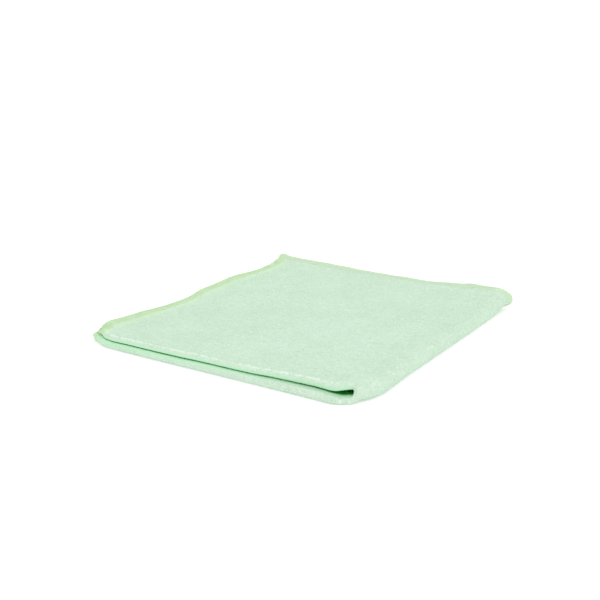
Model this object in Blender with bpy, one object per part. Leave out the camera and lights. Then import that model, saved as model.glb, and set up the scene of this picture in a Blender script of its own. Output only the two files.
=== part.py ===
"""A microfibre cleaning cloth, folded in quarters and laid flat.

One square of short-pile knit is folded in half twice. The first fold runs along the front (-Y),
so that the cloth becomes a pack of an outer and an inner layer. The second fold runs along the
right-hand side (+X) and turns that pack over onto itself, so that four layers lie on the surface:
outer, inner, inner, outer. The free, hemmed edges lie at the left (-X) and at the back (+Y).

The sheet is worked out on two pairs of numbers. Across the second fold a place has a turn, from
-90 degrees in the lower pack to +90 degrees in the upper one, and a run, from 0 at the fold to 1
at the left hem. Across the first fold its turn goes from -90 degrees in the outer layer to +90
degrees in the inner one, and its run from 0 at the front fold to 1 at the back hem. A third
number, the depth, is how far the place lies from the middle of the cloth towards its outer face.
"""

import math
from collections import namedtuple

import bmesh
import bpy

MM = 0.001

# The cloth, in millimetres.
THICKNESS = 1.8
LAYER_GAP = 0.3
PITCH = THICKNESS + LAYER_GAP
LOWER_HALF_WIDTH = 198.0
UPPER_HALF_WIDTH = 193.0
HALF_LENGTH = 208.0

# How far the loosening of a fold or a hem reaches into the pack, in millimetres.
FRONT_REACH = 34.0
SIDE_REACH = 26.0
SIDE_GAP_REACH = 16.0
TIP_REACH = 100.0
TIP_LIFT_REACH = 16.0
HEM_REACH = 14.0
HEM_LOFT = 0.35
CURL_REACH = 10.0
INNER_HEM_SHORT = 2.0

# The ripples of cloth smoothed down by hand: their mean height, the share of it that each of
# two waves adds or takes away, the length of a wave and how far each wave slants.
RIPPLE = 0.22
RIPPLE_SHARE = 0.5
RIPPLE_LENGTH = 95.0
RIPPLE_SLANT = 0.35

# How sharply the wander of a hem dies away towards its fold.
HEM_WANDER = 3

# How square the folds are where they are pressed: 2 is round, and more is squarer.
ROUND = 2.0
SIDE_PRESSED = 2.8
FRONT_PRESSED = 2.6
PACKS_PRESSED = 3.2

# The rounded corner where the two folds cross, and the small one at the left end of the front:
# its width and length, its squareness before and after it is drawn in, and the share of it that
# moves as one, from the rim inwards.
Corner = namedtuple("Corner", "width length before after rim")
CROSSING = Corner(26.0, 36.0, 14.0, 2.3, 0.25)
LEFT_END = Corner(20.0, 19.0, 14.0, 2.1, 0.2)

# How many steps each stretch of the sheet is divided into.
WIDTH_STEPS = 20
SIDE_FOLD_STEPS = 12
LENGTH_STEPS = 15
FRONT_FOLD_STEPS = 10

# The front fold from left to right: where its front lies, how far the upper pack is set back
# from it, and the extra height inside the lower pack, between the packs and inside the upper one.
FrontRow = namedtuple("FrontRow", "x front set_back lower_loft gap upper_loft")
FRONT_FOLD = (
    FrontRow(-106.0, -108.4, 0.0, 0.8, 0.0, 0.3),
    FrontRow(-84.0, -108.4, 0.0, 1.6, 0.0, 0.0),
    FrontRow(-46.0, -107.2, 0.5, 1.6, 0.0, 0.2),
    FrontRow(15.0, -104.4, 1.5, 1.6, 0.1, 0.4),
    FrontRow(46.0, -103.2, 3.0, 2.0, 0.1, 0.8),
    FrontRow(76.0, -102.3, 4.0, 1.7, 0.4, 0.8),
    FrontRow(83.0, -102.5, 4.0, 1.0, 1.0, 1.3),
    FrontRow(89.0, -102.6, 4.0, 0.3, 2.4, 1.2),
    FrontRow(95.0, -102.7, 4.0, 0.3, 2.7, 0.7),
    FrontRow(101.0, -102.8, 4.0, 0.3, 2.4, 0.8),
)

# The side fold from front to back: where its outside lies, how far its round reaches out against
# its height, its lift off the surface, and the same three extra heights.
SideRow = namedtuple("SideRow", "y side nose lift lower_loft gap upper_loft")
SIDE_FOLD = (
    SideRow(-103.0, 96.5, 1.0, 0.0, 0.6, 1.6, 0.6),
    SideRow(-76.0, 97.3, 1.1, 0.0, 0.5, 1.4, 0.6),
    SideRow(-39.0, 96.2, 1.2, 0.0, 0.4, 0.7, 0.4),
    SideRow(20.0, 96.2, 1.2, 0.0, 0.3, 0.6, 0.4),
    SideRow(70.0, 96.1, 1.2, 0.0, 0.4, 0.8, 0.5),
    SideRow(88.0, 96.1, 1.4, 0.0, 0.6, 1.1, 0.7),
    SideRow(96.0, 96.1, 1.7, 1.1, 0.7, 1.4, 0.8),
    SideRow(106.0, 99.8, 2.0, 2.5, 0.4, 1.0, 0.7),
)

# The left hems from front to back: how far each pack's hem stands out past its even edge, and
# how far the top hem curls up.
HemRow = namedtuple("HemRow", "y lower_out upper_out curl")
LEFT_HEMS = (
    HemRow(-107.0, 7.6, 6.5, 0.0),
    HemRow(-98.0, 6.0, 8.4, 0.3),
    HemRow(-88.0, 5.6, 8.0, 1.4),
    HemRow(-70.0, 1.6, 4.0, 1.7),
    HemRow(-54.0, 0.0, 0.1, 1.0),
    HemRow(-40.0, -0.6, -1.4, 0.2),
    HemRow(-22.0, -0.5, -2.2, 0.2),
    HemRow(0.0, 0.4, -0.8, 1.3),
    HemRow(30.0, 0.8, -1.4, 1.8),
    HemRow(57.0, -1.4, -5.0, 0.3),
    HemRow(74.0, -5.0, -5.9, 1.1),
    HemRow(87.0, -5.5, -3.9, 1.0),
    HemRow(97.0, -5.5, -0.4, 1.1),
    HemRow(108.0, -5.0, 0.8, 0.5),
)

# The back hems from left to right: how far the outer and the inner hems stand out past their
# even edge, and how far the top hem curls up.
BackRow = namedtuple("BackRow", "x outer_out inner_out curl")
BACK_HEMS = (
    BackRow(-102.0, 2.9, 0.2, 1.1),
    BackRow(-80.0, 1.8, -1.6, 1.6),
    BackRow(-60.0, 1.6, -2.6, 1.6),
    BackRow(-25.0, 1.0, -1.2, 1.1),
    BackRow(10.0, 1.4, -2.4, 0.8),
    BackRow(30.0, 1.2, -3.2, 0.2),
    BackRow(58.0, 2.4, -1.8, 2.3),
    BackRow(68.0, 2.4, -1.4, 3.6),
    BackRow(77.0, 2.6, -1.0, 3.2),
    BackRow(87.0, 2.4, -1.2, 1.3),
    BackRow(100.0, 2.0, -1.4, 0.3),
)

# A place across a fold: how far round it is, and how far from it towards the hem.
Place = namedtuple("Place", "turn run")
Point = namedtuple("Point", "x y z")


def mix(low, high, share):
    """Return the value that lies at a share of the way from low to high."""
    return low + (high - low) * share


def fade(distance, reach):
    """Return 1 at no distance, falling smoothly to 0 at the reach."""
    share = min(max(distance / reach, 0.0), 1.0)
    return (1.0 - share) ** 2 * (1.0 + 2.0 * share)


def slope(rows, index, column):
    """Return how steeply a column runs at one row, level where the row is a peak or a dip."""
    near = rows[max(index - 1, 0):index + 2]
    steps = [
        (last[column] - first[column]) / (last[0] - first[0])
        for first, last in zip(near, near[1:])
    ]
    if min(steps) * max(steps) <= 0.0:
        return 0.0
    return len(steps) / sum(1.0 / step for step in steps)


def read(rows, at):
    """Return a table's row at a place along it, on a smooth curve through the rows."""
    at = min(max(at, rows[0][0]), rows[-1][0])
    index = next(number for number in range(len(rows) - 1) if at <= rows[number + 1][0])
    first, last = rows[index], rows[index + 1]
    span = last[0] - first[0]
    share = (at - first[0]) / span
    rising = share * share * (3.0 - 2.0 * share)
    leaving = share * (1.0 - share) ** 2 * span
    arriving = share * share * (share - 1.0) * span
    values = [
        mix(first[column], last[column], rising)
        + leaving * slope(rows, index, column)
        + arriving * slope(rows, index + 1, column)
        for column in range(1, len(first))
    ]
    return type(first)(at, *values)


def ripple(x, y):
    """Return the soft unevenness of cloth that was smoothed down by hand."""
    across = math.sin(math.tau * (x + RIPPLE_SLANT * y) / RIPPLE_LENGTH)
    along = math.cos(math.tau * (y - RIPPLE_SLANT * x) / RIPPLE_LENGTH)
    return RIPPLE * (1.0 + RIPPLE_SHARE * (across + along))


def layer_heights(x, y):
    """Return the mid heights of the four layers, from the lowest up, over a place."""
    front = read(FRONT_FOLD, x)
    side = read(SIDE_FOLD, y)
    from_front = y - front.front
    from_side = side.side - x
    from_back = HALF_LENGTH - from_front
    from_hems = min(from_back, UPPER_HALF_WIDTH - from_side)
    by_front = fade(from_front, FRONT_REACH)
    by_side = fade(from_side, SIDE_REACH) * (1.0 - by_front)
    by_tip = fade(from_side, TIP_REACH) * fade(from_back, TIP_REACH)
    by_hem = HEM_LOFT * fade(from_hems, HEM_REACH)
    side_gap = mix(fade(from_side, SIDE_GAP_REACH) * (1.0 - by_front), 1.0, by_tip)
    lower = front.lower_loft * by_front + side.lower_loft * by_side
    between = front.gap * by_front + side.gap * side_gap
    upper = front.upper_loft * by_front + side.upper_loft * mix(by_side, 1.0, by_tip)
    outer_low = THICKNESS / 2.0 + side.lift * fade(from_side, TIP_LIFT_REACH)
    inner_low = outer_low + PITCH + lower + by_hem
    inner_high = inner_low + PITCH + between + by_hem + ripple(x, y) / 2.0
    outer_high = inner_high + PITCH + upper + by_hem + ripple(y, x)
    return outer_low, inner_low, inner_high, outer_high


def norm(across, along, power):
    """Return a plan place's distance from a corner's centre, on rings of a squareness."""
    return (across ** power + along ** power) ** (1.0 / power)


def rounded(x, y, corner_x, corner_y, corner):
    """Return a plan place drawn in where a square corner of the pack is really a round one."""
    side = math.copysign(1.0, corner_x)
    across = 1.0 - side * (corner_x - x) / corner.width
    along = 1.0 - (y - corner_y) / corner.length
    if across <= 0.0 or along <= 0.0:
        return x, y
    ring = norm(across, along, corner.before)
    drawn_in = 1.0 / ring - 1.0 / norm(across, along, corner.after)
    drawn_in *= fade(1.0 - corner.rim - ring, 1.0 - corner.rim)
    return x - side * corner.width * across * drawn_in, y + corner.length * along * drawn_in


def fold_round(turn, first_power, last_power):
    """Return how far over and how far out the round of a fold is at a turn.

    Each half of the round has a squareness of its own.
    """
    power = first_power if turn < 0.0 else last_power
    over = math.copysign(abs(math.sin(turn)) ** (2.0 / power), turn)
    out = abs(math.cos(turn)) ** (2.0 / power)
    return over, out


def sheet_point(across, along, depth):
    """Return a point of the cloth, from its places across the side and the front fold."""
    # The even plan place, which says how loose the layers are there.
    upper_share = (1.0 + math.sin(across.turn)) / 2.0
    half_width = mix(LOWER_HALF_WIDTH, UPPER_HALF_WIDTH, upper_share)
    even_y = FRONT_FOLD[0].front + along.run * HALF_LENGTH
    even_x = read(SIDE_FOLD, even_y).side - across.run * half_width
    front = read(FRONT_FOLD, even_x)
    even_y = front.front + along.run * HALF_LENGTH
    side = read(SIDE_FOLD, even_y)
    outer_low, inner_low, inner_high, outer_high = layer_heights(even_x, even_y)

    # The front fold turns the inner layer of each pack over onto the outer one.
    away_power = mix(FRONT_PRESSED, ROUND, upper_share)
    inner, crest = fold_round(along.turn, away_power, PACKS_PRESSED)
    inner_share = (1.0 + inner) / 2.0
    low_half = (inner_low - outer_low) / 2.0 + depth
    high_half = (outer_high - inner_high) / 2.0 + depth
    front_half = mix(low_half, high_half, upper_share)
    axis_y = front.front + THICKNESS / 2.0 + front_half - depth
    flat_length = HALF_LENGTH - (front_half - depth) * math.pi / 2.0
    y = axis_y - front_half * crest + along.run * flat_length
    y += front.set_back * upper_share * (1.0 - along.run)

    # The side fold turns the upper pack over onto the lower one.
    low = (inner_low + outer_low) / 2.0 + inner * low_half
    high = (outer_high + inner_high) / 2.0 - inner * high_half
    over, out = fold_round(across.turn, mix(SIDE_PRESSED, ROUND, inner_share), ROUND)
    side_half = (high - low) / 2.0
    z = (high + low) / 2.0 + side_half * over
    axis_x = side.side - side.nose * (THICKNESS + outer_high - outer_low) / 2.0
    fold_height = mix(outer_high - outer_low, inner_high - inner_low, inner_share)
    flat_width = half_width - fold_height * (1.0 + side.nose) * math.pi / 8.0
    x = axis_x + side.nose * side_half * out - across.run * flat_width

    # Hems wander, and the top one curls up.
    left = read(LEFT_HEMS, y)
    back = read(BACK_HEMS, x)
    left_out = mix(left.lower_out, left.upper_out, upper_share) - INNER_HEM_SHORT * inner_share
    back_out = mix(back.outer_out, back.inner_out, inner_share)
    to_left = (1.0 - across.run) * flat_width
    to_back = (1.0 - along.run) * flat_length
    x -= left_out * across.run ** HEM_WANDER
    y += back_out * along.run ** HEM_WANDER
    curl = left.curl * fade(to_left, CURL_REACH) + back.curl * fade(to_back, CURL_REACH)
    z += upper_share * (1.0 - inner_share) * curl

    hem_x = axis_x - flat_width - left_out
    x, y = rounded(x, y, side.side, front.front, CROSSING)
    x, y = rounded(x, y, hem_x, front.front, LEFT_END)
    return Point(x, y, z)


def places(flat_steps, fold_steps):
    """Return the places across a fold, from one hem round the fold to the other."""
    runs = [(1.0 - math.cos(math.pi * step / flat_steps)) / 2.0 for step in range(1, flat_steps + 1)]
    turns = [math.pi * (step / fold_steps - 0.5) for step in range(fold_steps + 1)]
    first_layer = [Place(-math.pi / 2.0, run) for run in reversed(runs)]
    fold = [Place(turn, 0.0) for turn in turns]
    last_layer = [Place(math.pi / 2.0, run) for run in runs]
    return first_layer + fold + last_layer


def cloth_mesh():
    """Return the folded cloth as a closed mesh: its two faces, joined at the hems."""
    across = places(WIDTH_STEPS, SIDE_FOLD_STEPS)
    along = places(LENGTH_STEPS, FRONT_FOLD_STEPS)
    shape = bmesh.new()
    bmesh.ops.create_grid(
        shape, x_segments=len(across) - 1, y_segments=len(along) - 1, size=1.0
    )
    skin = bmesh.ops.extrude_face_region(shape, geom=shape.faces[:], use_keep_orig=True)
    outer = {item for item in skin["geom"] if isinstance(item, bmesh.types.BMVert)}
    for vertex in shape.verts:
        column = round((vertex.co.x + 1.0) / 2.0 * (len(across) - 1))
        row = round((vertex.co.y + 1.0) / 2.0 * (len(along) - 1))
        depth = THICKNESS / 2.0 if vertex in outer else -THICKNESS / 2.0
        point = sheet_point(across[column], along[row], depth)
        vertex.co = (point.x * MM, point.y * MM, point.z * MM)
    bmesh.ops.recalc_face_normals(shape, faces=shape.faces)
    mesh = bpy.data.meshes.new("cloth")
    shape.to_mesh(mesh)
    shape.free()
    return mesh


def centre_over_origin(mesh):
    """Move the mesh so that the middle of its outline lies over the origin."""
    for axis in (0, 1):
        values = [vertex.co[axis] for vertex in mesh.vertices]
        middle = (min(values) + max(values)) / 2.0
        for vertex in mesh.vertices:
            vertex.co[axis] -= middle


def cloth_material():
    """Return the cloth's pale mint knit."""
    material = bpy.data.materials.new("mint_microfibre")
    material.use_nodes = True
    surface = material.node_tree.nodes["Principled BSDF"]
    surface.inputs["Base Color"].default_value = (0.62, 0.83, 0.64, 1.0)
    surface.inputs["Roughness"].default_value = 0.95
    surface.inputs["Metallic"].default_value = 0.0
    return material


def make_cloth():
    """Make the folded cloth."""
    mesh = cloth_mesh()
    centre_over_origin(mesh)
    mesh.materials.append(cloth_material())
    cloth = bpy.data.objects.new("cloth", mesh)
    bpy.context.scene.collection.objects.link(cloth)
    mesh.shade_smooth()
    return cloth


def clear_scene():
    """Remove every object from the scene."""
    for item in list(bpy.data.objects):
        bpy.data.objects.remove(item, do_unlink=True)


clear_scene()
make_cloth()
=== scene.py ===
"""A microfibre cleaning cloth, folded in quarters, lying on a white table.

The cloth is one nearly square piece of short-pile knit with overlocked edges. Its first fold runs
along the front (-Y) and its second one along the right-hand side (+X), so that four layers lie on
the table: outer, inner, inner, outer. The free edges lie at the left (-X) and at the back (+Y).
This file makes the fine sheet on those folds and the overlock stitching on its free edges, and
dresses them.
"""

import logging
import math
from dataclasses import dataclass, field
from enum import Enum
from typing import Any, Generic, NamedTuple, Sequence, TypeVar

import bmesh
import bpy
import numpy as np
from mathutils import Matrix, Vector


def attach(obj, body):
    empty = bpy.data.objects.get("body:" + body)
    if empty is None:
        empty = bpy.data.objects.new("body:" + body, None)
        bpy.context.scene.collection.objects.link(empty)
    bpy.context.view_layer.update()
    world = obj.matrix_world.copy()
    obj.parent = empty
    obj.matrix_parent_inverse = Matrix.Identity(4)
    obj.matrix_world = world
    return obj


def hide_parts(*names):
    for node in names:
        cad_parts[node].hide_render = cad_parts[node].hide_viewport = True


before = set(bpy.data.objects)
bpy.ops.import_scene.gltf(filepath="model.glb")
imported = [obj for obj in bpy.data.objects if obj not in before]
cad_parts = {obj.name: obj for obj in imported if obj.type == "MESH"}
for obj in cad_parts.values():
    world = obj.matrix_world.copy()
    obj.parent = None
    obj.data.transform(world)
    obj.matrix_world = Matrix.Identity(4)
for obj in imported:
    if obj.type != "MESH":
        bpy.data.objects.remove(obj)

LOG = logging.getLogger("cloth")
MM = 0.001
MERGE_DISTANCE = 1e-7

Row = TypeVar("Row", bound=tuple)


class FrontRow(NamedTuple):
    """A row of the front fold: its front line, the upper pack's set back and its extra heights."""

    x: float
    front: float
    set_back: float
    lower_loft: float
    gap: float
    upper_loft: float


class SideRow(NamedTuple):
    """A row of the side fold: its outside, its reach, its lift and three extra heights."""

    y: float
    side: float
    nose: float
    lift: float
    lower_loft: float
    gap: float
    upper_loft: float


class LeftRow(NamedTuple):
    """A row of the left hems: how far each pack's hem stands out, and the top one's curl."""

    y: float
    lower_out: float
    upper_out: float
    curl: float


class BackRow(NamedTuple):
    """A row of the back hems: how far the outer and inner ones stand out, and the top's curl."""

    x: float
    outer_out: float
    inner_out: float
    curl: float


class Corner(NamedTuple):
    """A rounded corner: its size, its squareness before and after, and its rim, moved as one."""

    width: float
    length: float
    before: float
    after: float
    rim: float


class Wave(NamedTuple):
    """A long, low wave of the loose knit: its length, direction in degrees, start and height."""

    length: float
    direction: float
    start: float
    height: float


class Places(NamedTuple):
    """Places across a fold: how far round it each is, and how far from it towards the hem."""

    turn: np.ndarray
    run: np.ndarray


FRONT_FOLD = (
    FrontRow(-106.0, -108.4, 0.0, 0.8, 0.0, 0.3),
    FrontRow(-84.0, -108.4, 0.0, 1.6, 0.0, 0.0),
    FrontRow(-46.0, -107.2, 0.5, 1.6, 0.0, 0.2),
    FrontRow(15.0, -104.4, 1.5, 1.6, 0.1, 0.4),
    FrontRow(46.0, -103.2, 3.0, 2.0, 0.1, 0.8),
    FrontRow(76.0, -102.3, 4.0, 1.7, 0.4, 0.8),
    FrontRow(83.0, -102.5, 4.0, 1.0, 1.0, 1.3),
    FrontRow(89.0, -102.6, 4.0, 0.3, 2.4, 1.2),
    FrontRow(95.0, -102.7, 4.0, 0.3, 2.7, 0.7),
    FrontRow(101.0, -102.8, 4.0, 0.3, 2.4, 0.8),
)
SIDE_FOLD = (
    SideRow(-103.0, 96.5, 1.0, 0.0, 0.6, 1.6, 0.6),
    SideRow(-76.0, 97.3, 1.1, 0.0, 0.5, 1.4, 0.6),
    SideRow(-39.0, 96.2, 1.2, 0.0, 0.4, 0.7, 0.4),
    SideRow(20.0, 96.2, 1.2, 0.0, 0.3, 0.6, 0.4),
    SideRow(70.0, 96.1, 1.2, 0.0, 0.4, 0.8, 0.5),
    SideRow(88.0, 96.1, 1.4, 0.0, 0.6, 1.1, 0.7),
    SideRow(96.0, 96.1, 1.7, 1.1, 0.7, 1.4, 0.8),
    SideRow(106.0, 99.8, 2.0, 2.5, 0.4, 1.0, 0.7),
)
LEFT_HEMS = (
    LeftRow(-107.0, 7.6, 6.5, 0.0),
    LeftRow(-98.0, 6.0, 8.4, 0.3),
    LeftRow(-88.0, 5.6, 8.0, 1.4),
    LeftRow(-70.0, 1.6, 4.0, 1.7),
    LeftRow(-54.0, 0.0, 0.1, 1.0),
    LeftRow(-40.0, -0.6, -1.4, 0.2),
    LeftRow(-22.0, -0.5, -2.2, 0.2),
    LeftRow(0.0, 0.4, -0.8, 1.3),
    LeftRow(30.0, 0.8, -1.4, 1.8),
    LeftRow(57.0, -1.4, -5.0, 0.3),
    LeftRow(74.0, -5.0, -5.9, 1.1),
    LeftRow(87.0, -5.5, -3.9, 1.0),
    LeftRow(97.0, -5.5, -0.4, 1.1),
    LeftRow(108.0, -5.0, 0.8, 0.5),
)
BACK_HEMS = (
    BackRow(-102.0, 2.9, 0.2, 1.1),
    BackRow(-80.0, 1.8, -1.6, 1.6),
    BackRow(-60.0, 1.6, -2.6, 1.6),
    BackRow(-25.0, 1.0, -1.2, 1.1),
    BackRow(10.0, 1.4, -2.4, 0.8),
    BackRow(30.0, 1.2, -3.2, 0.2),
    BackRow(58.0, 2.4, -1.8, 2.3),
    BackRow(68.0, 2.4, -1.4, 3.6),
    BackRow(77.0, 2.6, -1.0, 3.2),
    BackRow(87.0, 2.4, -1.2, 1.3),
    BackRow(100.0, 2.0, -1.4, 0.3),
)
WAVES = (
    Wave(61.0, 24.0, 0.4, 0.16),
    Wave(43.0, 118.0, 1.9, 0.12),
    Wave(29.0, 71.0, 3.3, 0.07),
    Wave(23.0, 152.0, 5.1, 0.06),
    Wave(17.0, 9.0, 2.2, 0.04),
    Wave(13.0, 97.0, 0.9, 0.03),
)


def mix(low: Any, high: Any, share: Any) -> Any:
    """Return the value that lies at a share of the way from low to high."""
    return low + (high - low) * share


def fade(distance: np.ndarray, reach: float) -> np.ndarray:
    """Return 1 at no distance, falling smoothly to 0 at the reach."""
    share = np.clip(distance / reach, 0.0, 1.0)
    return (1.0 - share) ** 2 * (1.0 + 2.0 * share)


class Profile(Generic[Row]):
    """A table with named columns, read on a smooth curve that never overshoots its rows."""

    def __init__(self, rows: Sequence[Row]) -> None:
        """Keep the rows and work out how steeply each column runs at each of them.

        Args:
            rows: The table, in order of its first column.
        """
        self.kind = type(rows[0])
        self.rows = np.array(rows, float)
        steps = np.diff(self.rows, axis=0) / np.diff(self.rows[:, :1], axis=0)
        self.slopes = np.zeros_like(self.rows)
        self.slopes[0] = steps[0]
        self.slopes[-1] = steps[-1]
        before, after = steps[:-1], steps[1:]
        steady = before * after > 0.0
        safe = np.where(steady, before + after, 1.0)
        self.slopes[1:-1] = np.where(steady, 2.0 * before * after / safe, 0.0)

    def at(self, place: np.ndarray) -> Row:
        """Read the table.

        Args:
            place: Where to read it, in terms of its first column.

        Returns:
            A row of the table's own kind, with an array in each column.
        """
        stops = self.rows[:, 0]
        place = np.clip(place, stops[0], stops[-1])
        index = np.clip(np.searchsorted(stops, place) - 1, 0, len(stops) - 2)
        span = stops[index + 1] - stops[index]
        share = (place - stops[index]) / span
        rising = share * share * (3.0 - 2.0 * share)
        leaving = share * (1.0 - share) ** 2 * span
        arriving = share * share * (share - 1.0) * span
        columns = [
            mix(self.rows[index, column], self.rows[index + 1, column], rising)
            + leaving * self.slopes[index, column]
            + arriving * self.slopes[index + 1, column]
            for column in range(1, self.rows.shape[1])
        ]
        return self.kind(place, *columns)


@dataclass
class QuarterFold:
    """The way the sheet lies: a map from a place on the flat cloth to a point on the folded one.

    Across each fold a place has a turn, from -90 to +90 degrees round the fold, and a run, from 0
    at the fold to 1 at the hem. Its depth is how far it lies from the middle of the knit towards
    the outer face. Sizes are in millimetres.
    """

    # The sheet and how closely its layers lie.
    thickness: float = 1.8
    layer_gap: float = 0.3
    lower_half_width: float = 198.0
    upper_half_width: float = 193.0
    half_length: float = 208.0

    # How far the loosening of a fold or a hem reaches into the pack.
    front_reach: float = 34.0
    side_reach: float = 26.0
    side_gap_reach: float = 16.0
    tip_reach: float = 100.0
    tip_lift_reach: float = 16.0
    hem_reach: float = 14.0
    hem_loft: float = 0.35
    curl_reach: float = 10.0
    inner_hem_short: float = 2.0

    # How sharply the wander of a hem dies away towards its fold.
    hem_wander: int = 3

    # The ripples of cloth smoothed down by hand, and the height at which the knit's own waves
    # are whole: below it they die away towards the table.
    ripple_height: float = 0.22
    ripple_share: float = 0.5
    ripple_length: float = 95.0
    ripple_slant: float = 0.35
    wave_top: float = 11.0

    # How square the folds are where they are pressed: 2 is round, and more is squarer.
    round_power: float = 2.0
    side_pressed: float = 2.8
    front_pressed: float = 2.6
    packs_pressed: float = 3.2

    # The rounded corners where the two folds cross and at the left end of the front.
    crossing: Corner = Corner(26.0, 36.0, 14.0, 2.3, 0.25)
    left_end: Corner = Corner(20.0, 19.0, 14.0, 2.1, 0.2)

    front_fold: Profile[FrontRow] = field(default_factory=lambda: Profile(FRONT_FOLD))
    side_fold: Profile[SideRow] = field(default_factory=lambda: Profile(SIDE_FOLD))
    left_hems: Profile[LeftRow] = field(default_factory=lambda: Profile(LEFT_HEMS))
    back_hems: Profile[BackRow] = field(default_factory=lambda: Profile(BACK_HEMS))

    @property
    def pitch(self) -> float:
        """Return how far one layer lies above the next where they are not loosened."""
        return self.thickness + self.layer_gap

    def ripple(self, x: np.ndarray, y: np.ndarray) -> np.ndarray:
        """Work out the soft unevenness of cloth that was smoothed down by hand.

        Args:
            x: Places across the pack.
            y: Places along the pack.

        Returns:
            The extra height at each place.
        """
        across = np.sin(math.tau * (x + self.ripple_slant * y) / self.ripple_length)
        along = np.cos(math.tau * (y - self.ripple_slant * x) / self.ripple_length)
        return self.ripple_height * (1.0 + self.ripple_share * (across + along))

    def layer_heights(self, x: np.ndarray, y: np.ndarray) -> tuple[np.ndarray, ...]:
        """Work out how high the four layers lie.

        Args:
            x: Places across the pack.
            y: Places along the pack.

        Returns:
            The mid heights of the four layers, from the lowest up.
        """
        front = self.front_fold.at(x)
        side = self.side_fold.at(y)
        from_front = y - front.front
        from_side = side.side - x
        from_back = self.half_length - from_front
        from_hems = np.minimum(from_back, self.upper_half_width - from_side)
        by_front = fade(from_front, self.front_reach)
        by_side = fade(from_side, self.side_reach) * (1.0 - by_front)
        by_tip = fade(from_side, self.tip_reach) * fade(from_back, self.tip_reach)
        by_hem = self.hem_loft * fade(from_hems, self.hem_reach)
        side_gap = mix(fade(from_side, self.side_gap_reach) * (1.0 - by_front), 1.0, by_tip)
        lower = front.lower_loft * by_front + side.lower_loft * by_side
        between = front.gap * by_front + side.gap * side_gap
        upper = front.upper_loft * by_front + side.upper_loft * mix(by_side, 1.0, by_tip)
        outer_low = self.thickness / 2.0 + side.lift * fade(from_side, self.tip_lift_reach)
        inner_low = outer_low + self.pitch + lower + by_hem
        inner_high = inner_low + self.pitch + between + by_hem + self.ripple(x, y) / 2.0
        outer_high = inner_high + self.pitch + upper + by_hem + self.ripple(y, x)
        return outer_low, inner_low, inner_high, outer_high

    @staticmethod
    def rounded(
        x: np.ndarray, y: np.ndarray, corner_x: np.ndarray, corner_y: np.ndarray, corner: Corner
    ) -> tuple[np.ndarray, np.ndarray]:
        """Draw plan places in where a square corner of the pack is really a round one.

        Args:
            x: Places across the pack.
            y: Places along the pack.
            corner_x: Where the square corner's side lies.
            corner_y: Where the square corner's front lies.
            corner: The corner's size and squareness.

        Returns:
            The places after they are drawn in.
        """
        side = np.sign(corner_x)
        across = np.maximum(1.0 - side * (corner_x - x) / corner.width, 0.0)
        along = np.maximum(1.0 - (y - corner_y) / corner.length, 0.0)
        inside = (across > 0.0) & (along > 0.0)
        across = np.where(inside, across, 1.0)
        along = np.where(inside, along, 1.0)
        ring = (across**corner.before + along**corner.before) ** (1.0 / corner.before)
        target = (across**corner.after + along**corner.after) ** (1.0 / corner.after)
        drawn_in = (1.0 / ring - 1.0 / target) * fade(1.0 - corner.rim - ring, 1.0 - corner.rim)
        drawn_in = np.where(inside, drawn_in, 0.0)
        return x - side * corner.width * across * drawn_in, y + corner.length * along * drawn_in

    @staticmethod
    def fold_round(
        turn: np.ndarray, first_power: np.ndarray, last_power: np.ndarray
    ) -> tuple[np.ndarray, np.ndarray]:
        """Go round a fold, each half of which has a squareness of its own.

        Args:
            turn: How far round, in radians.
            first_power: The squareness of the half before the middle.
            last_power: The squareness of the half after it.

        Returns:
            How far over and how far out the round is there, each at most 1.
        """
        power = np.where(turn < 0.0, first_power, last_power)
        over = np.sign(turn) * np.abs(np.sin(turn)) ** (2.0 / power)
        out = np.abs(np.cos(turn)) ** (2.0 / power)
        return over, out

    def wave(self, x: np.ndarray, y: np.ndarray) -> np.ndarray:
        """Work out the knit's own long, low waves.

        Args:
            x: Places across the pack.
            y: Places along the pack.

        Returns:
            The height of the waves at each place.
        """
        total = np.zeros_like(x)
        for row in WAVES:
            angle = math.radians(row.direction)
            along = x * math.cos(angle) + y * math.sin(angle)
            total = total + row.height * np.sin(math.tau * along / row.length + row.start)
        return total

    def points(self, across: Places, along: Places, depth: np.ndarray) -> np.ndarray:
        """Fold places of the cloth.

        Args:
            across: Places across the side fold.
            along: Places across the front fold.
            depth: How far each lies from the middle of the knit towards the outer face.

        Returns:
            Points in millimetres, with x, y and z on the last axis.
        """
        # The even plan place, which says how loose the layers are there.
        upper_share = (1.0 + np.sin(across.turn)) / 2.0
        half_width = mix(self.lower_half_width, self.upper_half_width, upper_share)
        even_y = FRONT_FOLD[0].front + along.run * self.half_length
        even_x = self.side_fold.at(even_y).side - across.run * half_width
        front = self.front_fold.at(even_x)
        even_y = front.front + along.run * self.half_length
        side = self.side_fold.at(even_y)
        outer_low, inner_low, inner_high, outer_high = self.layer_heights(even_x, even_y)

        # The front fold turns the inner layer of each pack over onto the outer one.
        away_power = mix(self.front_pressed, self.round_power, upper_share)
        inner, crest = self.fold_round(along.turn, away_power, self.packs_pressed)
        inner_share = (1.0 + inner) / 2.0
        low_half = (inner_low - outer_low) / 2.0 + depth
        high_half = (outer_high - inner_high) / 2.0 + depth
        front_half = mix(low_half, high_half, upper_share)
        axis_y = front.front + self.thickness / 2.0 + front_half - depth
        flat_length = self.half_length - (front_half - depth) * math.pi / 2.0
        y = axis_y - front_half * crest + along.run * flat_length
        y = y + front.set_back * upper_share * (1.0 - along.run)

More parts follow.
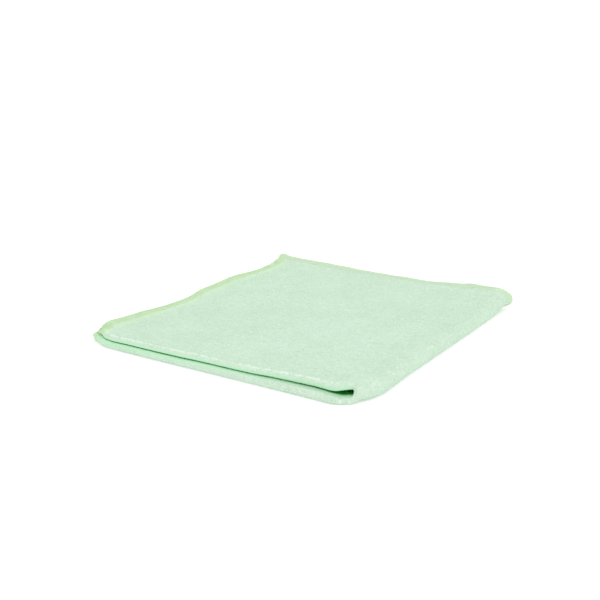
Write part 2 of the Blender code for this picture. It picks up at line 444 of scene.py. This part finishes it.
        # The side fold turns the upper pack over onto the lower one.
        low = (inner_low + outer_low) / 2.0 + inner * low_half
        high = (outer_high + inner_high) / 2.0 - inner * high_half
        lower_power = mix(self.side_pressed, self.round_power, inner_share)
        over, out = self.fold_round(across.turn, lower_power, self.round_power)
        side_half = (high - low) / 2.0
        z = (high + low) / 2.0 + side_half * over
        axis_x = side.side - side.nose * (self.thickness + outer_high - outer_low) / 2.0
        fold_height = mix(outer_high - outer_low, inner_high - inner_low, inner_share)
        flat_width = half_width - fold_height * (1.0 + side.nose) * math.pi / 8.0
        x = axis_x + side.nose * side_half * out - across.run * flat_width

        # Hems wander, and the top one curls up.
        left = self.left_hems.at(y)
        back = self.back_hems.at(x)
        left_out = mix(left.lower_out, left.upper_out, upper_share)
        left_out = left_out - self.inner_hem_short * inner_share
        back_out = mix(back.outer_out, back.inner_out, inner_share)
        to_left = (1.0 - across.run) * flat_width
        to_back = (1.0 - along.run) * flat_length
        x = x - left_out * across.run**self.hem_wander
        y = y + back_out * along.run**self.hem_wander
        left_curl = left.curl * fade(to_left, self.curl_reach)
        back_curl = back.curl * fade(to_back, self.curl_reach)
        z = z + upper_share * (1.0 - inner_share) * (left_curl + back_curl)

        hem_x = axis_x - flat_width - left_out
        x, y = self.rounded(x, y, side.side, front.front, self.crossing)
        x, y = self.rounded(x, y, hem_x, front.front, self.left_end)
        z = z + self.wave(x, y) * np.clip(z / self.wave_top, 0.0, 1.0)
        return np.stack(np.broadcast_arrays(x, y, z), axis=-1)


def grid_mesh(
    name: str,
    points: np.ndarray,
    flat: np.ndarray,
    marks: dict[str, np.ndarray],
    other: np.ndarray | None = None,
) -> bpy.types.Mesh:
    """Make a mesh from a grid whose vertices are moved to their places.

    Args:
        name: The mesh's name.
        points: Rows of points in millimetres, with x, y and z on the last axis.
        flat: The place of each on the flat cloth, in millimetres, for the UV map.
        marks: Numbers over the grid that a finish reads, each by its name.
        other: The points of a second skin, which is joined to the first one round its rim. Without
            it the last column meets the first one, as on a tube, and the ends are closed.

    Returns:
        The mesh, in metres, with its faces outwards.
    """
    rows, columns = points.shape[:2]
    shape = bmesh.new()
    uv_map = shape.loops.layers.uv.new("flat")
    for mark in marks:
        shape.verts.layers.float.new(mark)
    bmesh.ops.create_grid(shape, x_segments=columns - 1, y_segments=rows - 1, size=1.0)
    second: set[bmesh.types.BMVert] = set()
    if other is not None:
        skin = bmesh.ops.extrude_face_region(shape, geom=shape.faces[:], use_keep_orig=True)
        second = {item for item in skin["geom"] if isinstance(item, bmesh.types.BMVert)}
    places: dict[bmesh.types.BMVert, tuple[int, int]] = {}
    for vertex in shape.verts:
        column = round((vertex.co.x + 1.0) / 2.0 * (columns - 1))
        row = round((vertex.co.y + 1.0) / 2.0 * (rows - 1))
        places[vertex] = (row, column)
    for mark, values in marks.items():
        layer = shape.verts.layers.float[mark]
        for vertex, place in places.items():
            vertex[layer] = values[place]
    for face in shape.faces:
        for loop in face.loops:
            loop[uv_map].uv = flat[places[loop.vert]] * MM
    for vertex, place in places.items():
        vertex.co = (other if vertex in second else points)[place] * MM
    if other is None:
        bmesh.ops.remove_doubles(shape, verts=shape.verts[:], dist=MERGE_DISTANCE)
        bmesh.ops.holes_fill(shape, edges=shape.edges[:], sides=0)
    bmesh.ops.recalc_face_normals(shape, faces=shape.faces[:])
    mesh = bpy.data.meshes.new(name)
    shape.to_mesh(mesh)
    shape.free()
    mesh.shade_smooth()
    return mesh


def lengths(line: np.ndarray) -> np.ndarray:
    """Return how far along a line of points each of them lies."""
    return np.concatenate([[0.0], np.cumsum(np.linalg.norm(np.diff(line, axis=0), axis=1))])


def piece(mesh: bpy.types.Mesh, material: bpy.types.Material) -> bpy.types.Object:
    """Show a mesh in a finish.

    Args:
        mesh: The mesh, already in its place.
        material: Its finish.

    Returns:
        The new object, at the origin.
    """
    mesh.materials.append(material)
    made = bpy.data.objects.new(mesh.name, mesh)
    bpy.context.scene.collection.objects.link(made)
    return made


@dataclass
class FineSheet:
    """The knit itself: a closed sheet on the folds, thinner where its edges are sewn over."""

    fold: QuarterFold
    finish: bpy.types.Material
    name: str = "cloth_knit"

    # The steps of the mesh, how much closer they stand by the hems and the fold, and how far the
    # knit ends inside the cut edge of the thread.
    flat_steps: int = 88
    fold_steps: int = 30
    crowding: float = 0.35
    tuck: float = 0.6

    # The strip that the sewing presses down, and how it eases into the full thickness.
    sewn_thickness: float = 1.0
    sewn_width: float = 4.6
    easing: float = 2.6

    # Where the packs' faces meet, shade is painted deep in the gap, and green bounce light at its
    # mouth: the length of the fold's half round, where these start and how fast they come, how far
    # in they last, and how much weaker they are at the open left end and over how long a stretch.
    round_length: float = 3.5
    tuck_start: float = -2.0
    tuck_length: float = 6.0
    tuck_reach: float = 45.0
    open_end: float = 0.8
    open_reach: float = 24.0

    # The painted highlight along the upper pack's fold, where its crest catches the light: its
    # place and width round the fold, and how far from the side fold it fades.
    crest_turn: float = math.radians(-60.0)
    crest_width: float = math.radians(13.0)
    crest_end: float = 16.0

    # Where the thread fringes out into the pile, inwards from the cut edge.
    fringe_start: float = 5.5
    fringe_reach: float = 7.0

    # The middle of the outline in plan, which is worked out when the sheet is built.
    middle: np.ndarray = field(default_factory=lambda: np.zeros(3))

    def places(self, flat_length: float) -> Places:
        """Spread places across a fold, from one hem round the fold to the other.

        Args:
            flat_length: The length of one flat layer, in millimetres.

        Returns:
            The places, a little closer together towards the hems and the fold.
        """
        even = np.linspace(0.0, 1.0, self.flat_steps + 1)[1:]
        eased = (1.0 - np.cos(math.pi * even)) / 2.0
        runs = mix(even, eased, self.crowding) * (1.0 - self.tuck / flat_length)
        turns = np.linspace(-math.pi / 2.0, math.pi / 2.0, self.fold_steps + 1)
        flat = np.full(self.flat_steps, math.pi / 2.0)
        turn = np.concatenate([-flat, turns, flat])
        run = np.concatenate([runs[::-1], np.zeros(self.fold_steps + 1), runs])
        return Places(turn, run)

    def half_thickness(self, across: Places, along: Places) -> np.ndarray:
        """Work out half the knit's thickness, which the sewing presses down at the hems.

        Args:
            across: Places across the side fold.
            along: Places across the front fold.

        Returns:
            Half the thickness at each place, in millimetres.
        """
        to_left = (1.0 - across.run) * self.fold.upper_half_width
        to_back = (1.0 - along.run) * self.fold.half_length
        from_sewing = np.minimum(to_left, to_back) - self.sewn_width
        return mix(self.fold.thickness, self.sewn_thickness, fade(from_sewing, self.easing)) / 2.0

    def marks(self, across: Places, along: Places) -> dict[str, np.ndarray]:
        """Mark painted gap shade and glow, a painted highlight on the crest, and the sewn fringe.

        Args:
            across: Places across the side fold.
            along: Places across the front fold.

        Returns:
            The marks "tucked", "crest" and "fringe", each from 0 to 1.
        """
        upper_share = (1.0 + np.sin(across.turn)) / 2.0
        x = self.fold.side_fold.at(0.0).side - across.run * self.fold.upper_half_width
        inward = np.sign(along.turn) * along.run * self.fold.half_length
        way_in = self.round_length * along.turn / (math.pi / 2.0) + inward
        way_in = way_in - self.fold.front_fold.at(x).set_back * (1.0 - upper_share)
        # Painted shade deep in the gap between the packs, with painted green bounce light at its
        # mouth.
        gap_shade = 1.0 - fade(way_in - self.tuck_start, self.tuck_length)
        to_left = (1.0 - across.run) * self.fold.upper_half_width
        gap_shade = gap_shade * fade(inward, self.tuck_reach)
        gap_shade = gap_shade * (1.0 - self.open_end * fade(to_left, self.open_reach))
        # A painted highlight along the upper pack's crest, where the fold catches the light.
        aside = (along.turn - self.crest_turn) / self.crest_width
        from_side = across.run * self.fold.upper_half_width
        crest = np.exp(-(aside**2)) * (along.run == 0.0) * upper_share
        crest = crest * (1.0 - fade(from_side, self.crest_end))
        fringe = fade(to_left - self.fringe_start, self.fringe_reach)
        gap_shade, crest, fringe = np.broadcast_arrays(gap_shade, crest, fringe)
        return {"gap_shade": gap_shade, "crest": crest, "fringe": fringe}

    def build(self) -> bpy.types.Object:
        """Make the sheet and keep the middle of its outline.

        Returns:
            The sheet's object, with its outline's middle over the origin.
        """
        columns = self.places(self.fold.upper_half_width)
        rows = self.places(self.fold.half_length)
        across = Places(columns.turn[None, :], columns.run[None, :])
        along = Places(rows.turn[:, None], rows.run[:, None])
        half = self.half_thickness(across, along)
        outer = self.fold.points(across, along, half)
        inner = self.fold.points(across, along, -half)
        corners = np.concatenate([outer.reshape(-1, 3), inner.reshape(-1, 3)])
        self.middle = (corners.min(0) + corners.max(0)) / 2.0 * (1.0, 1.0, 0.0)
        # The flat cloth is measured round the front fold's middle and through the lower pack.
        centre = (outer + inner) / 2.0
        middle_row = centre[len(rows.run) // 2]
        lower_column = centre[:, len(columns.run) // 4]
        flat = np.stack(np.meshgrid(lengths(middle_row), lengths(lower_column)), axis=-1)
        marks = self.marks(across, along)
        mesh = grid_mesh(self.name, outer - self.middle, flat, marks, inner - self.middle)
        return piece(mesh, self.finish)


class Hem(Enum):
    """The four free edges of the folded sheet."""

    LOWER_LEFT = "lower_left"
    UPPER_LEFT = "upper_left"
    OUTER_BACK = "outer_back"
    INNER_BACK = "inner_back"


class BindingRow(NamedTuple):
    """A line of the thread's sleeve along the edge, in millimetres.

    It lies so far inward from the cut and so deep from the knit's middle. Its stitches stand out
    by a rib, and swing to and fro across the edge.
    """

    inward: float
    depth: float
    rib: float
    swing: float


BINDING_FACE = (
    BindingRow(5.9, 0.30, 0.00, 0.45),
    BindingRow(5.6, 0.66, 0.04, 0.45),
    BindingRow(5.0, 0.84, 0.10, 0.20),
    BindingRow(3.9, 0.93, 0.11, 0.00),
    BindingRow(2.6, 0.95, 0.11, 0.00),
    BindingRow(1.3, 0.93, 0.11, 0.00),
    BindingRow(0.3, 0.76, 0.10, -0.08),
    BindingRow(-0.3, 0.44, 0.08, -0.12),
)
BINDING_RIM = BindingRow(-0.5, 0.0, 0.0, -0.14)


@dataclass
class OverlockedEdge:
    """Thread sewn over one free edge: a ribbed sleeve of slanting stitches round the cut."""

    fold: QuarterFold
    finish: bpy.types.Material
    middle: np.ndarray
    hem: Hem

    # The stitches: their length, their steps, and how many of them one slants over.
    stitch: float = 1.8
    steps_per_stitch: int = 4
    slant: float = 0.9

    # The rounds of the folds, along the edge that goes round them, and the fewest steps of one.
    front_arc: float = 5.0
    outer_arc: float = 18.0
    inner_arc: float = 7.0
    fewest_fold_steps: int = 6

    # How wide the border is where pile covers the thread, and how much covers the back hems.
    border: float = 2.4
    brushed: float = 0.6

    @staticmethod
    def section() -> BindingRow:
        """List the lines of the sleeve's section, all the way round.

        Returns:
            A row of arrays, with a value for each line.
        """
        back = [row._replace(depth=-row.depth) for row in reversed(BINDING_FACE)]
        rows = [*BINDING_FACE, BINDING_RIM, *back, BINDING_FACE[0]]
        return BindingRow(*np.array(rows).transpose())

    def lengthwise(self, flat_length: float, arc: float) -> Places:
        """Spread places along the edge, evenly and a whole number of them to a stitch.

        Args:
            flat_length: The length of one layer, in millimetres.
            arc: The length of the fold's round.

        Returns:
            The places, from one end of the edge round the fold to the other.
        """
        step = self.stitch / self.steps_per_stitch
        flat_steps = round(flat_length / step)
        fold_steps = max(round(arc / step), self.fewest_fold_steps)
        runs = np.linspace(1.0, 0.0, flat_steps + 1)
        turns = np.linspace(-math.pi / 2.0, math.pi / 2.0, fold_steps + 1)
        flat = np.full(flat_steps, math.pi / 2.0)
        turn = np.concatenate([-flat, turns, flat])
        run = np.concatenate([runs[:-1], np.zeros(fold_steps + 1), runs[::-1][1:]])
        return Places(turn, run)

    def build(self) -> bpy.types.Object:
        """Make the sleeve.

        Returns:
            The sleeve's object, on the sheet's edge.
        """
        line = self.section()
        fold = self.fold
        on_left = self.hem in (Hem.LOWER_LEFT, Hem.UPPER_LEFT)
        first = self.hem in (Hem.LOWER_LEFT, Hem.OUTER_BACK)
        if on_left:
            length = self.lengthwise(fold.half_length, self.front_arc)
            span = fold.lower_half_width if first else fold.upper_half_width
        else:
            arc = self.outer_arc if first else self.inner_arc
            length = self.lengthwise(fold.upper_half_width, arc)
            span = fold.half_length
        stitches = np.arange(len(length.run))[:, None] / self.steps_per_stitch
        wave = np.sin(math.tau * (stitches + self.slant * line.inward / self.stitch))
        inward = line.inward + line.swing * wave
        depth = line.depth + np.sign(line.depth) * line.rib * wave
        run = 1.0 - inward / span
        sewn = Places(np.full_like(run, -math.pi / 2.0 if first else math.pi / 2.0), run)
        along = Places(length.turn[:, None], length.run[:, None])
        places = (sewn, along) if on_left else (along, sewn)
        points = fold.points(*places, depth) - self.middle
        # The thread is pressed flat where it lies on the table.
        points[..., 2] = np.maximum(points[..., 2], 0.0)
        girth = lengths(np.stack([line.inward, line.depth], axis=-1))
        flat = np.stack(np.meshgrid(girth, stitches[:, 0] * self.stitch), axis=-1)
        covered = fade(line.inward[0] - inward, self.border)
        if not on_left:
            covered = np.maximum(covered, self.brushed)
        marks = {"covered": covered}
        return piece(grid_mesh("overlock_" + self.hem.value, points, flat, marks), self.finish)


class Band(NamedTuple):
    """The value at which something is none, and the one at which it is full."""

    none: float
    full: float


class Term:
    """A number that varies over a surface, on which sums are written as on a plain number."""

    def __init__(self, shader: "Shader", socket: bpy.types.NodeSocket) -> None:
        """Keep the shader and the socket that the number comes out of."""
        self.shader = shader
        self.socket = socket

    def _join(self, operation: str, first: "Term | float", second: "Term | float") -> "Term":
        """Return the result of one sum."""
        made = self.shader.node("ShaderNodeMath", {"operation": operation}, {0: first, 1: second})
        return Term(self.shader, made.outputs[0])

    def __add__(self, other: "Term | float") -> "Term":
        """Return self + other."""
        return self._join("ADD", self, other)

    __radd__ = __add__

    def __sub__(self, other: "Term | float") -> "Term":
        """Return self - other."""
        return self._join("SUBTRACT", self, other)

    def __rsub__(self, other: "Term | float") -> "Term":
        """Return other - self."""
        return self._join("SUBTRACT", other, self)

    def __mul__(self, other: "Term | float") -> "Term":
        """Return self * other."""
        return self._join("MULTIPLY", self, other)

    __rmul__ = __mul__

    def over(self, band: Band) -> "Term":
        """Go smoothly through a band of values.

        Args:
            band: The band.

        Returns:
            0 up to where the band is none, and 1 from where it is full.
        """
        made = self.shader.node(
            "ShaderNodeMapRange",
            {"interpolation_type": "SMOOTHSTEP", "clamp": True},
            {"Value": self, "From Min": band.none, "From Max": band.full},
        )
        return Term(self.shader, made.outputs[0])


Colour = tuple[float, float, float]


class Shader:
    """A material under construction, with one Principled surface."""

    def __init__(self, name: str) -> None:
        """Start an empty material.

        Args:
            name: The material's name.
        """
        self.material = bpy.data.materials.new(name)
        self.material.use_nodes = True
        self.tree = self.material.node_tree
        self.surface = self.tree.nodes["Principled BSDF"]

    def node(
        self, kind: str, settings: dict[str, Any], values: dict[str | int, Any]
    ) -> bpy.types.Node:
        """Add a node.

        Args:
            kind: The node's type.
            settings: Its own settings, which are set first.
            values: A value, Term or socket for each of its input sockets.

        Returns:
            The node.
        """
        made = self.tree.nodes.new(kind)
        for name, value in settings.items():
            setattr(made, name, value)
        for name, value in values.items():
            self.feed(made.inputs[name], value)
        return made

    def feed(self, socket: bpy.types.NodeSocket, value: Any) -> None:
        """Set a socket, or link what varies to it.

        Args:
            socket: The input socket.
            value: A plain value, or a Term or another socket that varies.
        """
        if isinstance(value, Term):
            self.tree.links.new(value.socket, socket)
        elif isinstance(value, bpy.types.NodeSocket):
            self.tree.links.new(value, socket)
        elif isinstance(value, tuple) and socket.type == "RGBA":
            socket.default_value = (*value, 1.0)
        else:
            socket.default_value = value

    def noise(self, size: float, where: bpy.types.NodeSocket, detail: float = 2.0) -> Term:
        """Return a cloudy number about 0.5, with clouds of a size in millimetres."""
        values = {"Vector": where, "Scale": 1.0 / (size * MM), "Detail": detail}
        return Term(self, self.node("ShaderNodeTexNoise", {}, values).outputs[0])

    def cells(self, size: float, where: bpy.types.NodeSocket) -> tuple[Term, Term]:
        """Spread points over the surface.

        Args:
            size: How far apart they are, in millimetres.
            where: The coordinates.

        Returns:
            The distance from the nearest point, as a share of the size, and a number drawn for it.
        """
        values = {"Vector": where, "Scale": 1.0 / (size * MM)}
        made = self.node("ShaderNodeTexVoronoi", {}, values)
        drawn = self.node("ShaderNodeSeparateColor", {}, {0: made.outputs["Color"]})
        return Term(self, made.outputs["Distance"]), Term(self, drawn.outputs[0])

    def mark(self, name: str) -> Term:
        """Return one of the numbers that a mesh carries."""
        made = self.node("ShaderNodeAttribute", {"attribute_name": name}, {})
        return Term(self, made.outputs["Fac"])

    def blend(self, share: Term, first: Any, second: Any) -> bpy.types.NodeSocket:
        """Return a colour that goes from the first to the second with a share."""
        # The node's colour sockets share their names with others, so they go by number.
        made = self.node("ShaderNodeMix", {"data_type": "RGBA"}, {0: share, 6: first, 7: second})
        return made.outputs[2]

    def bump(self, height: Term, depth: float, strength: float) -> bpy.types.NodeSocket:
        """Return the normal of a relief whose depth is in millimetres."""
        values = {"Height": height, "Distance": depth * MM, "Strength": strength}
        return self.node("ShaderNodeBump", {}, values).outputs[0]

    def finish(self, values: dict[str, Any]) -> None:
        """Set or link the surface's own sockets, each by its name."""
        for name, value in values.items():
            self.feed(self.surface.inputs[name], value)


class PileParts(NamedTuple):
    """What the pile shows, each as a number that varies over its surface."""

    tufts: Term
    fibres: Term
    clumps: Term
    clouds: Term
    raised: Term
    parted: Term


class PileShares(NamedTuple):
    """How much each part of the pile adds to a sum, and the base that the sum starts from."""

    tufts: float
    fibres: float
    clumps: float
    clouds: float
    raised: float
    parted: float
    base: float


@dataclass(frozen=True)
class PileFinish:
    """Short, dense pile of split microfibre: pale mint green, matt, with a soft bloom."""

    name: str = "mint_microfibre"

    # The dye on the tips and between them, in two casts; painted green bounce light and painted
    # shade where the packs' faces meet; a painted highlight on the crest; and the thread in the
    # fringe.
    light: Colour = (0.71, 0.84, 0.715)
    deep: Colour = (0.50, 0.64, 0.51)
    cool: Colour = (0.51, 0.655, 0.535)
    gap_glow: Colour = (0.49, 0.77, 0.53)
    gap_shade: Colour = (0.006, 0.31, 0.03)
    crest_highlight: Colour = (0.76, 0.90, 0.77)
    thread: Colour = (0.59, 0.79, 0.51)

    roughness: float = 0.92
    bloom: float = 0.13
    bloom_tint: Colour = (0.4, 1.0, 0.45)
    bloom_roughness: float = 0.6
    relief_depth: float = 0.9
    relief_strength: float = 0.5

    # The sizes of what the pile shows, in millimetres, and how finely fibres and clouds break up.
    tuft_size: float = 1.5
    fibre_size: float = 0.7
    clump_size: float = 4.0
    cloud_size: float = 22.0
    speck_spacing: float = 2.3
    speck_patch: float = 9.0
    crest_patch: float = 2.4
    fringe_patch: float = 2.0
    fine: float = 3.0

    # The values between which each of them comes or goes.
    tuft: Band = Band(0.1, 0.8)
    cloud: Band = Band(0.35, 0.65)
    speck: Band = Band(0.15, 0.42)
    speckled: Band = Band(0.4, 0.62)
    raised: Band = Band(0.62, 0.72)
    raised_fibre: Band = Band(0.3, 0.55)
    parted: Band = Band(0.24, 0.34)
    pale: Band = Band(0.1, 1.1)
    # The crest band and share set the painted highlight on the upper crest.
    crest: Band = Band(0.36, 0.6)
    fringed: Band = Band(0.2, 0.7)
    # Bands of the painted green bounce light and the painted shade in the gap.
    gap_glowing: Band = Band(0.0, 0.5)
    gap_shaded: Band = Band(0.72, 0.94)
    crest_share: float = 0.75

    relief: PileShares = PileShares(0.5, 0.55, 0.5, 0.0, 0.5, -0.4, 0.0)
    paleness: PileShares = PileShares(0.2, 0.95, 0.4, 0.22, 0.8, -0.6, -0.39)

    def parts(self, shader: Shader, where: bpy.types.NodeSocket) -> PileParts:
        """Make what the pile shows.

        Args:
            shader: The material under construction.
            where: The coordinates.

        Returns:
            The parts, each as a number over the surface.
        """
        tufts = 1.0 - shader.cells(self.tuft_size, where)[0].over(self.tuft)
        fibres = shader.noise(self.fibre_size, where, self.fine)
        clumps = shader.noise(self.clump_size, where)
        clouds = shader.noise(self.cloud_size, where, self.fine)
        away, drawn = shader.cells(self.speck_spacing, where)
        patches = shader.noise(self.speck_patch, where).over(self.speckled)
        specks = (1.0 - away.over(self.speck)) * patches
        raised = specks * drawn.over(self.raised) * fibres.over(self.raised_fibre)
        parted = specks * (1.0 - drawn.over(self.parted))
        return PileParts(tufts, fibres, clumps, clouds, raised, parted)

    @staticmethod
    def total(parts: PileParts, shares: PileShares) -> Term:
        """Return the sum of the pile's parts by their shares, past the base."""
        return sum((part * share for part, share in zip(parts, shares) if share), shares.base)

    def material(self) -> bpy.types.Material:
        """Make the finish: tufts and stray fibres in relief, and a faintly cloudy dye.

        Returns:
            The material.
        """
        shader = Shader(self.name)
        where = shader.node("ShaderNodeTexCoord", {}, {}).outputs["Object"]
        parts = self.parts(shader, where)
        dyed = shader.blend(parts.clouds.over(self.cloud), self.deep, self.cool)
        paleness = self.total(parts, self.paleness).over(self.pale)
        pile = shader.blend(paleness, dyed, self.light)
        # A painted highlight along the upper pack's crest, broken into patches.
        crest = shader.noise(self.crest_patch, where).over(self.crest) * self.crest_share
        pile = shader.blend(shader.mark("crest") * crest, pile, self.crest_highlight)
        fringe = shader.noise(self.fringe_patch, where).over(self.fringed)
        pile = shader.blend(shader.mark("fringe") * fringe, pile, self.thread)
        # Painted green bounce light at the mouth of the gap between the packs, then painted shade
        # in it.
        gap_shade = shader.mark("gap_shade")
        pile = shader.blend(gap_shade.over(self.gap_glowing), pile, self.gap_glow)
        pile = shader.blend(gap_shade.over(self.gap_shaded), pile, self.gap_shade)
        relief = self.total(parts, self.relief)
        shader.finish(
            {
                "Base Color": pile,
                "Roughness": self.roughness,
                "Specular IOR Level": 0.0,
                "Sheen Weight": self.bloom,
                "Sheen Tint": self.bloom_tint,
                "Sheen Roughness": self.bloom_roughness,
                "Normal": shader.bump(relief, self.relief_depth, self.relief_strength),
            }
        )
        return shader.material


@dataclass(frozen=True)
class ThreadFinish:
    """Fluffy yellow-green polyester thread, wound closely over the edge."""

    name: str = "overlock_thread"
    light: Colour = (0.575, 0.795, 0.475)
    deep: Colour = (0.475, 0.685, 0.375)
    pile: Colour = (0.60, 0.745, 0.60)
    roughness: float = 0.85
    shine: float = 0.25
    bloom: float = 0.15
    relief_depth: float = 0.3
    relief_strength: float = 0.5

    # The sizes of what the thread shows, in millimetres, how much its strands wander and how
    # finely its fuzz breaks up.
    strand: float = 0.45
    wander: float = 1.2
    fuzz_size: float = 0.5
    patch_size: float = 6.0
    bare_patch: float = 1.3
    fine: float = 3.0

    # How much twist, fuzz and patches count in its colour, and between which sums it turns pale.
    twist_share: float = 0.3
    fuzz_share: float = 0.5
    patch_share: float = 0.6
    pale: Band = Band(0.3, 1.1)

    # Between which sums the pile comes to cover it.
    covering: Band = Band(0.75, 1.45)

    def material(self) -> bpy.types.Material:
        """Make the finish: twisted strands that run across the edge.

        Returns:
            The material.
        """
        shader = Shader(self.name)
        flat = shader.node("ShaderNodeUVMap", {"uv_map": "flat"}, {}).outputs[0]
        where = shader.node("ShaderNodeTexCoord", {}, {}).outputs["Object"]
        strands = shader.node(
            "ShaderNodeTexWave",
            {"wave_type": "BANDS", "bands_direction": "Y"},
            {
                "Vector": flat,
                "Scale": 1.0 / (2.0 * self.strand * MM),
                "Distortion": self.wander,
                "Detail": 1.0,
            },
        )
        twist = Term(shader, strands.outputs[1])
        fuzz = shader.noise(self.fuzz_size, where, self.fine)
        patches = shader.noise(self.patch_size, where)
        share = twist * self.twist_share + fuzz * self.fuzz_share + patches * self.patch_share
        thread = shader.blend(share.over(self.pale), self.deep, self.light)
        cover = shader.mark("covered") + shader.noise(self.bare_patch, where)
        relief = (twist + fuzz) * 0.5
        shader.finish(
            {
                "Base Color": shader.blend(cover.over(self.covering), thread, self.pile),
                "Roughness": self.roughness,
                "Specular IOR Level": self.shine,
                "Sheen Weight": self.bloom,
                "Normal": shader.bump(relief, self.relief_depth, self.relief_strength),
            }
        )
        return shader.material


@dataclass(frozen=True)
class FloorFinish:
    """The even white of the table that the cloth lies on."""

    name: str = "white_table"
    white: Colour = (0.80, 0.80, 0.80)
    glow: float = 0.27

    def material(self) -> bpy.types.Material:
        """Make the finish: plain, matt and a little luminous, as a light table is.

        Returns:
            The material.
        """
        shader = Shader(self.name)
        shader.finish(
            {
                "Base Color": self.white,
                "Roughness": 1.0,
                "Specular IOR Level": 0.0,
                "Emission Color": (1.0, 1.0, 1.0),
                "Emission Strength": self.glow,
            }
        )
        return shader.material


@dataclass
class Studio:
    """A white table in plain, soft light, seen from above its front corner."""

    floor_size: float = 6.0
    floor_drop: float = 0.05 * MM
    dome_strength: float = 1.10
    lamp_power: float = 3.2
    lamp_size: float = 1.4
    lamp_place: Vector = field(default_factory=lambda: Vector((1.0, -0.7, 1.0)))
    sensor: float = 36.0
    nearest: float = 0.01
    lens: float = 63.2
    azimuth: float = 33.77
    elevation: float = 18.87
    distance: float = 0.77291
    look_at: Vector = field(default_factory=lambda: Vector((-0.03458, 0.04220, 0.0)))

    def lay_floor(self, finish: bpy.types.Material) -> None:
        """Lay the table's top, just under the cloth.

        Args:
            finish: The table's finish.
        """
        shape = bmesh.new()
        bmesh.ops.create_grid(shape, x_segments=1, y_segments=1, size=self.floor_size / 2.0)
        bmesh.ops.translate(shape, verts=shape.verts[:], vec=(0.0, 0.0, -self.floor_drop))
        mesh = bpy.data.meshes.new("table_top")
        shape.to_mesh(mesh)
        shape.free()
        floor = piece(mesh, finish)

    def light(self) -> None:
        """Light the table from all round, and a little more from above and the right."""
        world = bpy.data.worlds.new("white_dome")
        world.use_nodes = True
        background = world.node_tree.nodes["Background"]
        background.inputs["Color"].default_value = (1.0, 1.0, 1.0, 1.0)
        background.inputs["Strength"].default_value = self.dome_strength
        bpy.context.scene.world = world
        lamp = bpy.data.lights.new("soft_box", "AREA")
        lamp.energy = self.lamp_power
        lamp.size = self.lamp_size
        holder = bpy.data.objects.new("soft_box", lamp)
        holder.location = self.lamp_place
        holder.rotation_euler = (-self.lamp_place).to_track_quat("-Z", "Y").to_euler()
        bpy.context.scene.collection.objects.link(holder)
        bpy.context.scene.view_settings.view_transform = "Standard"

    def set_camera(self) -> None:
        """Place the camera at the photograph's angle and make it the scene's."""
        azimuth, elevation = math.radians(self.azimuth), math.radians(self.elevation)
        back = Vector(
            (
                math.sin(azimuth) * math.cos(elevation),
                -math.cos(azimuth) * math.cos(elevation),
                math.sin(elevation),
            )
        )
        right = Vector((math.cos(azimuth), math.sin(azimuth), 0.0))
        data = bpy.data.cameras.new("photo_view")
        data.lens = self.lens
        data.sensor_width = self.sensor
        data.clip_start = self.nearest
        camera = bpy.data.objects.new("photo_view", data)
        camera.location = self.look_at + back * self.distance
        turned = Matrix((right, back.cross(right), back)).transposed()
        camera.rotation_euler = turned.to_euler()
        bpy.context.scene.collection.objects.link(camera)
        bpy.context.scene.camera = camera


def dress(made: bpy.types.Object) -> None:
    """Let a piece ride with the cloth, and log how many faces it has.

    Args:
        made: The piece.
    """
    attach(made, "root")
    LOG.info("%s: %d faces", made.name, len(made.data.polygons))


def main() -> None:
    """Build the studio and the cloth."""
    logging.basicConfig(level=logging.INFO, format="%(name)s %(message)s")
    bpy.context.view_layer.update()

    studio = Studio()
    studio.set_camera()
    studio.light()
    studio.lay_floor(FloorFinish().material())

    fold = QuarterFold()
    sheet = FineSheet(fold, PileFinish().material())
    knit = sheet.build()
    dress(knit)
    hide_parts("cloth")

    thread = ThreadFinish().material()
    edges = [OverlockedEdge(fold, thread, sheet.middle, hem).build() for hem in Hem]
    for edge in edges:
        dress(edge)


if __name__ == "__main__":
    main()
